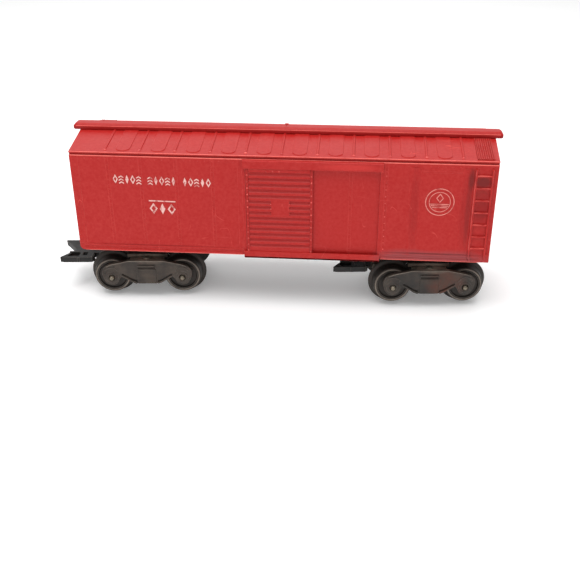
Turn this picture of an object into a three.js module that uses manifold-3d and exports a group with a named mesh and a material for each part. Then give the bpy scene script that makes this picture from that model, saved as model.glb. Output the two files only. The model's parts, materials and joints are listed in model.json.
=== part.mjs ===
// A model railway box car in O gauge: a hollow plastic body with a sliding door on each
// side, a black floor plate, and two four-wheel trucks that swivel on king rivets.
// Each truck carries one coupler that tilts on a cross pin.
// Millimetres, +X along the car, +Y across it, +Z up.  Z = 0 is where the flanges stand.
import * as THREE from 'three';
import { mergeVertices } from 'three/addons/utils/BufferGeometryUtils.js';
import Module from 'manifold-3d';

const wasm = await Module();
wasm.setup();

// ---------------------------------------------------------------- driving dimensions
const GAP = 0.3;                // clearance between separate pieces

const BODY_LENGTH = 195.7;
const BODY_WIDTH = 50.6;
const EAVE_HEIGHT = 49.5;       // sill to eave
const RIDGE_HEIGHT = 53.3;      // sill to the flat that carries the running board
const WALL = 1.8;
const BODY_SHIFT = 7.42;        // body centre from the middle of the whole car

const FLANGE_RADIUS = 11.2;
const AXLE_DROP = 15.6;         // sill to axle centre
const SILL_HEIGHT = FLANGE_RADIUS + AXLE_DROP;
const WHEELBASE = 34.9;

const TRUCKS = [
  { side: 'left', x: -68.9, turnDegrees: 5.0 },
  { side: 'right', x: 69.4, turnDegrees: 5.4 },
];

// ---------------------------------------------------------------- materials
function redPlastic() {
  return new THREE.MeshStandardMaterial({ color: 0xb8322f, roughness: 0.45, metalness: 0 });
}

function blackPaint() {
  return new THREE.MeshStandardMaterial({ color: 0x1c1b1a, roughness: 0.55, metalness: 0.2 });
}

function truckPlastic() {
  return new THREE.MeshStandardMaterial({ color: 0x3a332f, roughness: 0.6, metalness: 0 });
}

function wheelMetal() {
  return new THREE.MeshStandardMaterial({ color: 0x4a423c, roughness: 0.5, metalness: 0.6 });
}

function brightSteel() {
  return new THREE.MeshStandardMaterial({ color: 0xa9a296, roughness: 0.35, metalness: 0.9 });
}

// ---------------------------------------------------------------- solids and meshes
function toSolid(geometry) {
  const bare = geometry.clone();
  bare.deleteAttribute('normal');
  bare.deleteAttribute('uv');
  const merged = mergeVertices(bare, 1e-4);
  return new wasm.Manifold(new wasm.Mesh({
    numProp: 3,
    vertProperties: new Float32Array(merged.attributes.position.array),
    triVerts: new Uint32Array(merged.index.array),
  }));
}

function toGeometry(solid) {
  const mesh = solid.getMesh();
  const geometry = new THREE.BufferGeometry();
  geometry.setAttribute('position', new THREE.BufferAttribute(mesh.vertProperties, 3));
  geometry.setIndex(new THREE.BufferAttribute(mesh.triVerts, 1));
  geometry.computeVertexNormals();
  return geometry;
}

function union(solids) {
  return solids.reduce((whole, next) => whole.add(next));
}

function cut(solid, tools) {
  return tools.reduce((left, tool) => left.subtract(tool), solid);
}

function piece(name, solidOrGeometry, material) {
  const isGeometry = solidOrGeometry instanceof THREE.BufferGeometry;
  const geometry = isGeometry ? solidOrGeometry : toGeometry(solidOrGeometry);
  const mesh = new THREE.Mesh(geometry, material);
  mesh.name = name;
  return mesh;
}

function block([x0, x1], [y0, y1], [z0, z1]) {
  const geometry = new THREE.BoxGeometry(x1 - x0, y1 - y0, z1 - z0);
  geometry.translate((x0 + x1) / 2, (y0 + y1) / 2, (z0 + z1) / 2);
  return toSolid(geometry);
}

function outline(points) {
  return new THREE.Shape(points.map(([a, b]) => new THREE.Vector2(a, b)));
}

// A whole outline from its right half, listed from the bottom up.
function mirroredOutline(rightHalf) {
  const leftHalf = rightHalf.map(([x, z]) => [-x, z]).reverse();
  return [...rightHalf, ...leftHalf];
}

function extrude(shape, depth) {
  return new THREE.ExtrudeGeometry(shape, { depth, bevelEnabled: false, curveSegments: 8 });
}

// A (y, z) outline drawn out along X.
function prismAlongX(points, [x0, x1]) {
  const geometry = extrude(outline(points), x1 - x0);
  const turn = new THREE.Matrix4().makeBasis(
    new THREE.Vector3(0, 1, 0), new THREE.Vector3(0, 0, 1), new THREE.Vector3(1, 0, 0));
  geometry.applyMatrix4(turn);
  geometry.translate(x0, 0, 0);
  return toSolid(geometry);
}

// An (x, z) outline drawn out along Y.
function prismAlongY(points, [y0, y1]) {
  const geometry = extrude(outline(points), y1 - y0);
  geometry.rotateX(Math.PI / 2);
  geometry.translate(0, y1, 0);
  return toSolid(geometry);
}

// An (x, y) outline drawn out along Z.
function prismAlongZ(points, [z0, z1]) {
  const geometry = extrude(outline(points), z1 - z0);
  geometry.translate(0, 0, z0);
  return toSolid(geometry);
}

function rodAlongY(radius, [x, z], [y0, y1], sides = 20) {
  const geometry = new THREE.CylinderGeometry(radius, radius, y1 - y0, sides);
  geometry.translate(x, (y0 + y1) / 2, z);
  return toSolid(geometry);
}

function rodAlongZ(radius, [x, y], [z0, z1], sides = 20) {
  const geometry = new THREE.CylinderGeometry(radius, radius, z1 - z0, sides);
  geometry.rotateX(Math.PI / 2);
  geometry.translate(x, y, (z0 + z1) / 2);
  return toSolid(geometry);
}

// A (radius, height) profile turned about the Y axis, or stood up about Z.
function turnedAboutY(profile, sides) {
  return new THREE.LatheGeometry(profile.map(([r, y]) => new THREE.Vector2(r, y)), sides);
}

function turnedAboutZ(profile, sides) {
  const geometry = turnedAboutY(profile, sides);
  geometry.rotateX(Math.PI / 2);
  return geometry;
}

function mirroredAboutZ(solid) {
  return solid.rotate([0, 0, 180]);
}

// ---------------------------------------------------------------- body shell
const HALF_LENGTH = BODY_LENGTH / 2;
const HALF_WIDTH = BODY_WIDTH / 2;
const INNER_LENGTH = HALF_LENGTH - WALL;
const INNER_WIDTH = HALF_WIDTH - WALL;
const EAVE_GROOVE = { bottom: 47.9, top: 48.9, depth: 0.6 };
const ROOF_EDGE = HALF_WIDTH + 0.1;
const SEAT_HALF_WIDTH = 3.0;    // flat along the ridge
const ROOF_OVERHANG = 0.6;      // past each end wall
const INTO = 0.3;               // how far an added detail is sunk into its wall

// Height of the sloping roof at a distance across the car.
function roofHeight(y) {
  const run = (ROOF_EDGE - Math.abs(y)) / (ROOF_EDGE - SEAT_HALF_WIDTH);
  return EAVE_HEIGHT + (RIDGE_HEIGHT - EAVE_HEIGHT) * run;
}

// Walls and roof in one hollow piece.  A groove runs under each eave, and each side is
// sunk where its door slides.
function shellHull() {
  const groove = HALF_WIDTH - EAVE_GROOVE.depth;
  const rightHalf = [
    [HALF_WIDTH, 0], [HALF_WIDTH, EAVE_GROOVE.bottom], [groove, EAVE_GROOVE.bottom],
    [groove, EAVE_GROOVE.top], [ROOF_EDGE, EAVE_GROOVE.top],
    [ROOF_EDGE, EAVE_HEIGHT], [SEAT_HALF_WIDTH, RIDGE_HEIGHT],
  ];
  const section = mirroredOutline(rightHalf);
  const hollow = [
    [-INNER_WIDTH, -1], [INNER_WIDTH, -1], [INNER_WIDTH, EAVE_HEIGHT - WALL],
    [SEAT_HALF_WIDTH, RIDGE_HEIGHT - WALL], [-SEAT_HALF_WIDTH, RIDGE_HEIGHT - WALL],
    [-INNER_WIDTH, EAVE_HEIGHT - WALL],
  ];
  const walls = prismAlongX(section, [-HALF_LENGTH, HALF_LENGTH]);
  const roofHalf = [
    [ROOF_EDGE, EAVE_GROOVE.top], [ROOF_EDGE, EAVE_HEIGHT], [SEAT_HALF_WIDTH, RIDGE_HEIGHT],
  ];
  const roofEnd = HALF_LENGTH + ROOF_OVERHANG;
  const roof = prismAlongX(mirroredOutline(roofHalf), [-roofEnd, roofEnd]);
  const inside = prismAlongX(hollow, [-INNER_LENGTH, INNER_LENGTH]);
  const recess = doorRecess();
  return cut(walls.add(roof), [inside, recess, mirroredAboutZ(recess)]);
}

// Doors, seen from the near side: the door slides towards +X between two lipped tracks.
const DOOR_LEFT = -15.9;
const DOOR_RIGHT = 15.0;
const DOOR_SKIN = 0.8;
const DOOR_TRAVEL = 30;
const DOOR_RECESS = 1.0;        // how far the wall behind the door is sunk
const STOP = 1.2;               // thickness of the stop at each end of a track
const TRACK_LEFT = DOOR_LEFT - GAP - STOP;
const TRACK_RIGHT = DOOR_RIGHT + DOOR_TRAVEL + 2 * GAP + STOP;
const DOOR_INNER = HALF_WIDTH - DOOR_RECESS + GAP;
const DOOR_OUTER = DOOR_INNER + DOOR_SKIN;
const LIP_INNER = DOOR_OUTER + GAP;
const LIP_THICKNESS = 0.7;
const LIP_OUTER = LIP_INNER + LIP_THICKNESS;
const TOP_TRACK = { lip: 43.6, web: 46.6, top: 47.8 };
const BOTTOM_TRACK = { bottom: -1.1, web: -0.1, lip: 2.4 };
const DOORWAY = { x: [-13.5, 12.6], z: [3.2, 42.6] };

function doorRecess() {
  const x = [TRACK_LEFT + STOP, TRACK_RIGHT - STOP];
  return block(x, [-HALF_WIDTH - 1, -HALF_WIDTH + DOOR_RECESS], [-1, TOP_TRACK.web]);
}

function doorway() {
  return block(DOORWAY.x, [-HALF_WIDTH - 1, -INNER_WIDTH + 1], DOORWAY.z);
}

function doorTracks() {
  const run = [TRACK_LEFT, TRACK_RIGHT];
  const web = [-LIP_OUTER, -HALF_WIDTH + INTO];
  const lip = [-LIP_OUTER, -LIP_INNER];
  const stops = [[TRACK_LEFT, TRACK_LEFT + STOP], [TRACK_RIGHT - STOP, TRACK_RIGHT]];
  const parts = [
    block(run, web, [TOP_TRACK.web, TOP_TRACK.top]),
    block(run, lip, [TOP_TRACK.lip, TOP_TRACK.top]),
    // the bottom web hangs under the sill and reaches in under the sunk wall
    block(run, [-LIP_OUTER, -INNER_WIDTH], [BOTTOM_TRACK.bottom, BOTTOM_TRACK.web]),
    block(run, lip, [BOTTOM_TRACK.bottom, BOTTOM_TRACK.lip]),
    block(run, [-HALF_WIDTH + DOOR_RECESS, -INNER_WIDTH], [BOTTOM_TRACK.bottom, INTO]),
  ];
  for (const stop of stops) {
    parts.push(block(stop, web, [TOP_TRACK.lip, TOP_TRACK.top]));
    parts.push(block(stop, web, [BOTTOM_TRACK.bottom, BOTTOM_TRACK.lip]));
  }
  return parts;
}

// Moulded ladder at the right-hand end of a side.
const LADDER = { x: [87.7, 95.8], z: [2.0, 45.9], topRung: 42.6, pitch: 5.9, rungs: 7 };
const STILE = { width: 0.9, proud: 1.1 };
const RUNG = { height: 0.8, proud: 0.9 };

function ladder() {
  const [x0, x1] = LADDER.x;
  const stileY = [-HALF_WIDTH - STILE.proud, -HALF_WIDTH + INTO];
  const rungY = [-HALF_WIDTH - RUNG.proud, -HALF_WIDTH + INTO];
  const rungX = [x0 + STILE.width / 2, x1 - STILE.width / 2];
  const parts = [
    block([x0, x0 + STILE.width], stileY, LADDER.z),
    block([x1 - STILE.width, x1], stileY, LADDER.z),
  ];
  for (let rung = 0; rung < LADDER.rungs; rung += 1) {
    const z = LADDER.topRung - rung * LADDER.pitch;
    parts.push(block(rungX, rungY, [z - RUNG.height / 2, z + RUNG.height / 2]));
  }
  return parts;
}

// Raised ribs across one slope of the roof, and the walkway from the running board to the
// ladder at its right-hand end.
const RIBS = { count: 11, pitch: 16.35, shift: 0.4, width: 1.1, proud: 0.55 };
const RIB_ENDS = [ROOF_EDGE - 0.3, SEAT_HALF_WIDTH + 0.8];
const WALKWAY = { x: [88.2, 95.8], ends: [ROOF_EDGE - 1.4, SEAT_HALF_WIDTH + 2.4], proud: 0.6 };

function onRoof([x0, x1], [yOuter, yInner], proud) {
  const section = [
    [-yOuter, roofHeight(yOuter) - INTO], [-yInner, roofHeight(yInner) - INTO],
    [-yInner, roofHeight(yInner) + proud], [-yOuter, roofHeight(yOuter) + proud],
  ];
  return prismAlongX(section, [x0, x1]);
}

function roofDetails() {
  const parts = [onRoof(WALKWAY.x, WALKWAY.ends, WALKWAY.proud)];
  for (let rib = 0; rib < RIBS.count; rib += 1) {
    const x = (rib - (RIBS.count - 1) / 2) * RIBS.pitch + RIBS.shift;
    parts.push(onRoof([x - RIBS.width / 2, x + RIBS.width / 2], RIB_ENDS, RIBS.proud));
  }
  return parts;
}

// Horizontal corrugations on an end wall, and the block that takes the floor screw.
const END_RIBS = { count: 8, lowest: 6, pitch: 5.2, proud: 0.5, foot: 1.5, crest: 0.7, inset: 4 };
const SCREW_X = 91.0;
const SCREW_BLOCK = { reach: 3.5, halfY: 4, top: 12, bore: 1.25 };
const FLOOR = { bottom: 1.0, top: 2.5 };

function endDetails() {
  const parts = [];
  const across = [-HALF_WIDTH + END_RIBS.inset, HALF_WIDTH - END_RIBS.inset];
  const foot = HALF_LENGTH - INTO;
  const crest = HALF_LENGTH + END_RIBS.proud;
  for (let rib = 0; rib < END_RIBS.count; rib += 1) {
    const z = END_RIBS.lowest + rib * END_RIBS.pitch;
    const section = [
      [foot, z - END_RIBS.foot], [crest, z - END_RIBS.crest],
      [crest, z + END_RIBS.crest], [foot, z + END_RIBS.foot],
    ];
    parts.push(prismAlongY(section, across));
  }
  parts.push(block(
    [SCREW_X - SCREW_BLOCK.reach, INNER_LENGTH + INTO],
    [-SCREW_BLOCK.halfY, SCREW_BLOCK.halfY], [FLOOR.top + GAP, SCREW_BLOCK.top]));
  return parts;
}

function bodyShell() {
  const oneSide = [...doorTracks(), ...ladder(), ...roofDetails(), ...endDetails()];
  const details = union(oneSide);
  const solid = shellHull().add(details).add(mirroredAboutZ(details));
  const screwHole = rodAlongZ(SCREW_BLOCK.bore, [SCREW_X, 0], [0, 10], 12);
  const holes = [doorway(), screwHole];
  return cut(solid, [...holes, ...holes.map(mirroredAboutZ)]);
}

// ---------------------------------------------------------------- running board
const BOARD = { overhang: 4.0, halfWidth: 3.7, thickness: 2.85, corner: 1.2 };

function runningBoard() {
  const end = HALF_LENGTH + BOARD.overhang;
  const side = BOARD.halfWidth;
  const c = BOARD.corner;
  const plan = [
    [-end + c, -side], [end - c, -side], [end, -side + c], [end, side - c],
    [end - c, side], [-end + c, side], [-end, side - c], [-end, -side + c],
  ];
  const bottom = RIDGE_HEIGHT + 0.1;
  return prismAlongZ(plan, [bottom, bottom + BOARD.thickness]);
}

// ---------------------------------------------------------------- sliding door
const DOOR_RIDGES = { top: 42.87, pitch: 2.77, height: 1.5, proud: 0.6, inset: 1.3 };
const TACK_BOARD = { x: [-4.4, 4.2], z: [20.8, 28.2] };

function door() {
  const skin = [-DOOR_OUTER, -DOOR_INNER];
  const raised = [-DOOR_OUTER - DOOR_RIDGES.proud, -DOOR_OUTER + INTO];
  const height = [BOTTOM_TRACK.web + GAP, TOP_TRACK.web - GAP];
  const across = [DOOR_LEFT + DOOR_RIDGES.inset, DOOR_RIGHT - DOOR_RIDGES.inset];
  const lowest = BOTTOM_TRACK.lip + DOOR_RIDGES.height;
  const parts = [block([DOOR_LEFT, DOOR_RIGHT], skin, height)];
  for (let z = DOOR_RIDGES.top; z > lowest; z -= DOOR_RIDGES.pitch) {
    parts.push(block(across, raised, [z - DOOR_RIDGES.height, z]));
  }
  parts.push(block(TACK_BOARD.x, raised, TACK_BOARD.z));
  return union(parts);
}

// ---------------------------------------------------------------- floor and its screws
const KING = { shank: 1.7, bore: 2.0, boss: 5.0 };
const CENTRE_SILL = { halfX: 84, halfY: 6, bottom: -2.2 };
const FLOOR_SCREW = { head: 2.3, shank: 1.0, bore: 1.3, length: 8.8 };
const BOLSTER = { bottom: 18.8, top: 20.0, halfX: 8.3, halfY: 20.9 };

function floorPlate() {
  const plate = block(
    [-INNER_LENGTH + GAP, INNER_LENGTH - GAP], [-INNER_WIDTH + GAP, INNER_WIDTH - GAP],
    [FLOOR.bottom, FLOOR.top]);
  const centreSill = block(
    [-CENTRE_SILL.halfX, CENTRE_SILL.halfX], [-CENTRE_SILL.halfY, CENTRE_SILL.halfY],
    [CENTRE_SILL.bottom, FLOOR.bottom + INTO]);
  const bossBottom = BOLSTER.top + GAP - SILL_HEIGHT;
  const bosses = TRUCKS.map(({ x }) => rodAlongZ(KING.boss, [x, 0], [bossBottom, 0], 28));
  const bores = TRUCKS.map(({ x }) => rodAlongZ(KING.bore, [x, 0], [-20, 20], 20));
  const screwHoles = [-SCREW_X, SCREW_X].map((x) => rodAlongZ(FLOOR_SCREW.bore, [x, 0], [-5, 5], 12));
  return cut(union([plate, centreSill, ...bosses]), [...bores, ...screwHoles]);
}

function floorScrew() {
  const seat = FLOOR.bottom - 0.1;
  const { head, shank, length } = FLOOR_SCREW;
  return turnedAboutZ([
    [0, seat - 1.5], [0.7 * head, seat - 1.4], [head, seat - 0.7], [head, seat],
    [shank, seat], [shank, length - 0.8], [0, length],
  ], 14);
}

function kingRivet() {
  const floorTop = SILL_HEIGHT + FLOOR.top + 0.1;
  const under = BOLSTER.bottom - GAP;
  return turnedAboutZ([
    [0, under - 1.6], [1.8, under - 1.4], [3.2, under - 0.6], [3.2, under],
    [KING.shank, under], [KING.shank, floorTop], [2.8, floorTop],
    [2.6, floorTop + 0.8], [1.6, floorTop + 1.3], [0, floorTop + 1.4],
  ], 18);
}

// ---------------------------------------------------------------- truck side frame
const HALF_BASE = WHEELBASE / 2;
const AXLE_Z = FLANGE_RADIUS;
const FRAME = { inner: 21.2, outer: 22.8, rib: 23.6, top: 20.5, bottom: 7.9 };
const JOURNAL = { bore: 1.5, boss: 2.4, proud: 0.3 };
const LEDGE = { inner: 17.6, bottom: 17.3, top: 18.5, halfX: 8.3 };
const CHORD_DEPTH = 0.9;
const SPRING_BAR = { halfX: 4.3, z: [17.0, 17.9] };
const SPRING_PANEL = { halfX: 4.7, top: 15.8, proud: 0.4 };
const RIVET = { y: 19.3, bore: 1.1, shank: 0.8, head: 1.8, foot: 1.3 };

// The right half of the plate: up the lower chord, round the journal box and back along
// the arched top.
const FRAME_HALF = [
  [5.4, FRAME.bottom], [7.2, 8.9], [9.2, 10.3], [11.2, 11.5], [12.6, 11.5], [13.7, 10.4],
  [14.4, 8.9], [15.5, 7.6], [17.5, 7.1], [19.5, 7.6], [20.9, 9.2], [21.8, 11.4],
  [22.2, 13.6], [21.7, 15.6], [20.3, 17.2], [18.3, 18.2], [15.4, 19.0], [12.0, 19.7],
  [8.6, FRAME.top],
];

function framePlate() {
  return prismAlongY(mirroredOutline(FRAME_HALF), [-FRAME.outer, -FRAME.inner]);
}

function bar(points, [from, to]) {
  return prismAlongY(points, [-to, -from]);
}

// Raised on its outside: an arched top chord, two lower chords, a spring panel and a bar.
function sideFrame() {
  const proud = [FRAME.outer - INTO, FRAME.rib];
  const chordTop = mirroredOutline([[19.0, 17.8], [15.4, 19.0], [12.0, 19.7], [8.6, FRAME.top]]);
  const chordUnder = chordTop.map(([x, z]) => [x, z - CHORD_DEPTH]).reverse();
  const lowerChord = [[12.2, 11.6], [9.2, 10.4], [5.4, 8.0], [5.4, 9.0], [11.8, 12.9]];
  const { halfX, top, proud: panelProud } = SPRING_PANEL;
  const parts = [
    framePlate(),
    bar([...chordTop, ...chordUnder], proud),
    bar([...lowerChord].reverse(), proud),
    bar(lowerChord.map(([x, z]) => [-x, z]), proud),
    block([-halfX, halfX], [-FRAME.outer - panelProud, -FRAME.outer + INTO], [FRAME.bottom, top]),
    block([-SPRING_BAR.halfX, SPRING_BAR.halfX], [-FRAME.rib, -FRAME.outer + INTO], SPRING_BAR.z),
    block([-LEDGE.halfX, LEDGE.halfX], [-FRAME.inner - INTO, -LEDGE.inner],
      [LEDGE.bottom, LEDGE.top]),
  ];
  const holes = [rodAlongZ(RIVET.bore, [0, -RIVET.y], [LEDGE.bottom - 1, LEDGE.top + 1], 12)];
  const boss = [-FRAME.outer - JOURNAL.proud, -FRAME.outer + INTO];
  for (const x of [-HALF_BASE, HALF_BASE]) {
    parts.push(rodAlongY(JOURNAL.boss, [x, AXLE_Z], boss, 24));
    holes.push(rodAlongY(JOURNAL.bore, [x, AXLE_Z], [-FRAME.rib - 1, -FRAME.inner + 1], 20));
  }
  return cut(union(parts), holes);
}

function frameRivet() {
  const top = BOLSTER.top + 0.1;
  const bottom = LEDGE.bottom - 0.1;
  const { shank, head, foot } = RIVET;
  return turnedAboutZ([
    [0, bottom - 0.7], [0.7 * foot, bottom - 0.6], [foot, bottom], [shank, bottom],
    [shank, top], [head, top], [0.9 * head, top + 0.6], [0.5 * head, top + 1.0],
    [0, top + 1.1],
  ], 12);
}

// ---------------------------------------------------------------- bolster and its tongue
const TONGUE = { halfY: 6.4, thickness: 1.2, drop: 16.9, front: -24.0 };
const PIN = { x: -24.5, z: 15.1, radius: 0.9, bore: 1.2 };
const EAR = { thickness: 1.2, x: [-26.6, -21.6], bottom: 13.3 };

const SPRING_SEAT = { halfX: 9.9, y: [7.0, 17.2], top: 21.4 };
const WEB = { x: [7.5, 8.3], halfY: 12.4, bottom: 14.2 };

function bolster() {
  const seat = block(
    [-SPRING_SEAT.halfX, SPRING_SEAT.halfX], SPRING_SEAT.y,
    [BOLSTER.top - INTO, SPRING_SEAT.top]);
  const plate = block(
    [-BOLSTER.halfX, BOLSTER.halfX], [-BOLSTER.halfY, BOLSTER.halfY],
    [BOLSTER.bottom, BOLSTER.top]);
  const webHeight = [WEB.bottom, BOLSTER.bottom + INTO];
  const web = block(WEB.x, [-WEB.halfY, WEB.halfY], webHeight);
  const t = TONGUE.thickness;
  const tongueSide = [
    [TONGUE.front, TONGUE.drop], [-13.4, TONGUE.drop], [-9.2, BOLSTER.bottom],
    [-BOLSTER.halfX + 1, BOLSTER.bottom], [-BOLSTER.halfX + 1, BOLSTER.top],
    [-9.6, BOLSTER.top], [-13.8, TONGUE.drop + t], [TONGUE.front, TONGUE.drop + t],
  ];
  const tongue = prismAlongY(tongueSide, [-TONGUE.halfY, TONGUE.halfY]);
  const [earFrom, earTo] = EAR.x;
  const ear = [
    [earFrom, EAR.bottom + 0.8], [earFrom + 0.9, EAR.bottom], [earTo - 0.6, EAR.bottom],
    [earTo + 3.2, TONGUE.drop + 0.2], [TONGUE.front, TONGUE.drop + t],
    [earFrom + 1.2, TONGUE.drop + 0.6], [earFrom, TONGUE.drop - 0.4],
  ];
  const inner = TONGUE.halfY - EAR.thickness;
  const parts = [
    plate, tongue, seat, mirroredAboutZ(seat), web, mirroredAboutZ(web),
    prismAlongY(ear, [-TONGUE.halfY, -inner]), prismAlongY(ear, [inner, TONGUE.halfY]),
  ];
  const holes = [
    rodAlongZ(KING.bore, [0, 0], [10, 30], 20),
    rodAlongZ(RIVET.bore, [0, -RIVET.y], [10, 30], 12),
    rodAlongZ(RIVET.bore, [0, RIVET.y], [10, 30], 12),
    rodAlongY(PIN.bore, [PIN.x, PIN.z], [-10, 10], 16),
  ];
  return cut(union(parts), holes);
}

// ---------------------------------------------------------------- coupler
const COUPLER = { bottom: 13.7, top: 16.5, shank: 4.8 };
const COUPLER_SLOT = { x: [-34.8, -32.5], y: [-7.6, -3.9] };
const COUPLER_POCKET = { x: [-42.0, -36.6], y: [-8.6, -5.0], depth: 1.4 };

function coupler() {
  const plan = [
    [-22.3, -COUPLER.shank], [-22.3, COUPLER.shank], [-30.0, COUPLER.shank],
    [-30.6, 8.6], [-33.5, 10.9], [-47.0, 11.0], [-39.4, -0.7], [-45.7, -9.9],
    [-43.6, -10.5], [-29.9, -10.4], [-28.6, -9.2], [-28.6, -7.0], [-30.0, -COUPLER.shank],
  ];
  const counterClockwise = [...plan].reverse();
  const blank = prismAlongZ(counterClockwise, [COUPLER.bottom, COUPLER.top]);
  const slot = block(COUPLER_SLOT.x, COUPLER_SLOT.y, [0, 30]);
  const pocket = block(
    COUPLER_POCKET.x, COUPLER_POCKET.y, [COUPLER.top - COUPLER_POCKET.depth, 30]);
  const pinBore = rodAlongY(PIN.bore, [PIN.x, PIN.z], [-10, 10], 16);
  return cut(blank, [slot, pocket, pinBore]);
}

function couplerPin() {
  const end = TONGUE.halfY + 0.1;
  return turnedAboutY([
    [0, -end - 0.9], [1.5, -end - 0.7], [1.7, -end], [PIN.radius, -end],
    [PIN.radius, end], [1.7, end], [1.5, end + 0.7], [0, end + 0.9],
  ], 12);
}

// ---------------------------------------------------------------- wheels and axles
const AXLE = { radius: 1.2, shoulder: 23.2, tip: 24.4 };
const WHEEL_SIDES = 32;
const WHEEL = {
  back: 13.2, flange: 14.6, face: 20.0, tread: 9.3, treadOuter: 8.8,
  rimInner: 7.0, recess: 1.0, hub: 2.9, bore: 1.5,
};

function wheel() {
  const w = WHEEL;
  const web = w.face - w.recess;
  const profile = [
    [w.bore, w.back], [FLANGE_RADIUS - 1.2, w.back], [FLANGE_RADIUS, w.back + 0.5],
    [FLANGE_RADIUS - 0.3, w.flange - 0.3], [w.tread, w.flange + 0.4],
    [w.treadOuter, w.face - 0.3], [w.treadOuter - 0.3, w.face], [w.rimInner, w.face],
    [w.rimInner - 0.3, web], [w.hub + 0.2, web], [w.hub, w.face - 0.2], [w.bore, w.face - 0.2],
    [w.bore, w.back],
  ];
  return turnedAboutY(profile, WHEEL_SIDES);
}

function axle() {
  const a = AXLE;
  const half = [[a.radius, a.shoulder], [a.radius * 0.8, a.tip - 0.3], [0, a.tip]];
  const otherHalf = half.map(([r, y]) => [r, -y]).reverse();
  return turnedAboutY([...otherHalf, ...half], 20);
}

// ---------------------------------------------------------------- assembly
function addBody(car) {
  const body = new THREE.Group();
  body.position.set(BODY_SHIFT, 0, SILL_HEIGHT);
  const screw = floorScrew();
  const screwLeft = piece('floor_screw_left', screw, brightSteel());
  const screwRight = piece('floor_screw_right', screw, brightSteel());
  screwLeft.position.x = -SCREW_X;
  screwRight.position.x = SCREW_X;
  const doorSolid = door();
  body.add(
    piece('body_shell', bodyShell(), redPlastic()),
    piece('running_board', runningBoard(), redPlastic()),
    piece('floor_plate', floorPlate(), blackPaint()),
    piece('door_near', doorSolid, redPlastic()),
    piece('door_far', mirroredAboutZ(doorSolid), redPlastic()),
    screwLeft, screwRight,
  );
  car.add(body);
}

function addWheelset(truck, side, end, x) {
  const wheelGeometry = wheel();
  const near = piece(`wheel_${side}_${end}_near`, wheelGeometry, wheelMetal());
  const far = piece(`wheel_${side}_${end}_far`, wheelGeometry, wheelMetal());
  const shaft = piece(`axle_${side}_${end}`, axle(), brightSteel());
  for (const part of [near, far, shaft]) {
    part.position.set(x, 0, AXLE_Z);
  }
  near.rotation.z = Math.PI;
  truck.add(shaft, near, far);
}

function addTruck(car, { side, x, turnDegrees }) {
  const truck = new THREE.Group();
  truck.position.x = BODY_SHIFT + x;
  truck.rotation.z = THREE.MathUtils.degToRad(turnDegrees);
  const frame = sideFrame();
  const rivetNear = piece(`frame_rivet_${side}_near`, frameRivet(), brightSteel());
  const rivetFar = piece(`frame_rivet_${side}_far`, frameRivet(), brightSteel());
  rivetNear.position.y = -RIVET.y;
  rivetFar.position.y = RIVET.y;
  const pin = piece(`coupler_pin_${side}`, couplerPin(), brightSteel());
  pin.position.set(PIN.x, 0, PIN.z);
  truck.add(
    piece(`bolster_${side}`, bolster(), blackPaint()),
    piece(`side_frame_${side}_near`, frame, truckPlastic()),
    piece(`side_frame_${side}_far`, mirroredAboutZ(frame), truckPlastic()),
    piece(`king_rivet_${side}`, kingRivet(), brightSteel()),
    piece(`coupler_${side}`, coupler(), truckPlastic()),
    rivetNear, rivetFar, pin,
  );
  addWheelset(truck, side, 'outer', -HALF_BASE);
  addWheelset(truck, side, 'inner', HALF_BASE);
  car.add(truck);
}

const group = new THREE.Group();
addBody(group);
for (const truck of TRUCKS) {
  addTruck(group, truck);
}

export default group;
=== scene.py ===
"""A model railway box car in O gauge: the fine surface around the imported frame.

Shapes are drawn in millimetres in two local spaces: the body's (x from the body's middle,
z from the sill) and a truck's (x and y from its king rivet, z from the ground).  Each is
then carried into the frame's own space, in metres.
"""
import json
import math

import bmesh
import bpy
from mathutils import Matrix, Vector


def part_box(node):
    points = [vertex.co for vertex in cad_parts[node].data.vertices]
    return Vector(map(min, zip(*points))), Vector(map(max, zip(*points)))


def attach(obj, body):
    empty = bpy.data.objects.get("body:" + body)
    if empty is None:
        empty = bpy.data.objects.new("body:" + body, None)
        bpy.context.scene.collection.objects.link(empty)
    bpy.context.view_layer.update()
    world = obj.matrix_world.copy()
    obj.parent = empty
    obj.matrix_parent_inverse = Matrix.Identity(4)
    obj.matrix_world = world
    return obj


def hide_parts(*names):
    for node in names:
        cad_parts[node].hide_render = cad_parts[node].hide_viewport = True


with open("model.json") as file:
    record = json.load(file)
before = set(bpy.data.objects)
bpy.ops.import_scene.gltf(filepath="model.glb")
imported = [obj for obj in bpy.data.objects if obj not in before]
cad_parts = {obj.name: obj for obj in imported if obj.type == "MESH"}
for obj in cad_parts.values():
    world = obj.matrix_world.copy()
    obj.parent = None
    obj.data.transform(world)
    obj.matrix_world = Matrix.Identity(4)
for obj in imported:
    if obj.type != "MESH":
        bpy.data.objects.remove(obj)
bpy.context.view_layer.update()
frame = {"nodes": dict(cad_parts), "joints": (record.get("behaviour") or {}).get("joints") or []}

MM = 0.001

# ------------------------------------------------------------------ places from the frame
BOARD_LOW, BOARD_HIGH = (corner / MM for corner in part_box("running_board"))
BODY_X = (BOARD_LOW.x + BOARD_HIGH.x) / 2
RIDGE = 53.3                    # sill to the ridge
SILL = BOARD_LOW.z - RIDGE - 0.1
BODY = Matrix.Translation((BODY_X, 0, SILL))
TURN = Matrix.Rotation(math.pi, 4, "Z")
Z_TO_NEAR = Matrix.Rotation(math.pi / 2, 4, "X")     # a turned part's top faces the near side
Z_TO_FAR = Matrix.Rotation(-math.pi / 2, 4, "X")
NEAR_AND_FAR = (("near", Matrix.Identity(4)), ("far", TURN))


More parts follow.
